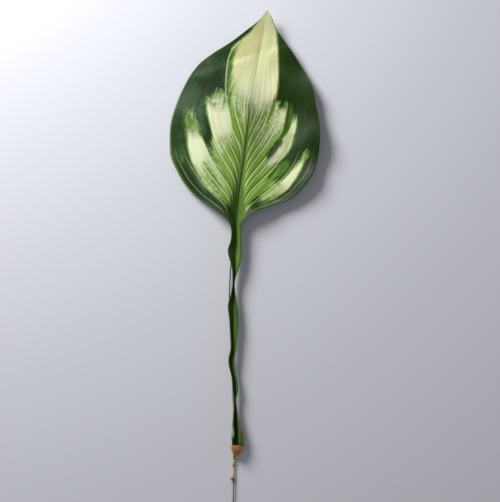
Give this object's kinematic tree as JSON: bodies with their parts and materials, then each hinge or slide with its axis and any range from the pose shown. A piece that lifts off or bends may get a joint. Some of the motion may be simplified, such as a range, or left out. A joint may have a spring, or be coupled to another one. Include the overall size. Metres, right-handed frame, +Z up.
{
  "type": "hosta leaf",
  "caption": "Dried variegated hosta leaf with its whole petiole, glued to a thin florist's wire, lying on its back for use as decoration.",
  "frame": {"origin": "middle of the footprint, on the surface that the leaf lies on", "axes": "+Y along the leaf from the wire's free end to the leaf's tip, +Z up, out of the leaf's upper face, +X across the blade to the right"},
  "size_m": [0.1292, 0.4342, 0.014],
  "materials": {
    "leaf": "dry leaf skin, soft waxy sheen, cream flames on green",
    "wire": "dark grey-green enamelled steel, satin",
    "glue": "amber hot-melt glue, glossy, slightly clouded"
  },
  "bodies": {
    "root": {"leaf": "leaf", "stem_wire": "wire", "glue_cap": "glue", "glue_seam": "glue"}
  },
  "joints": []
}
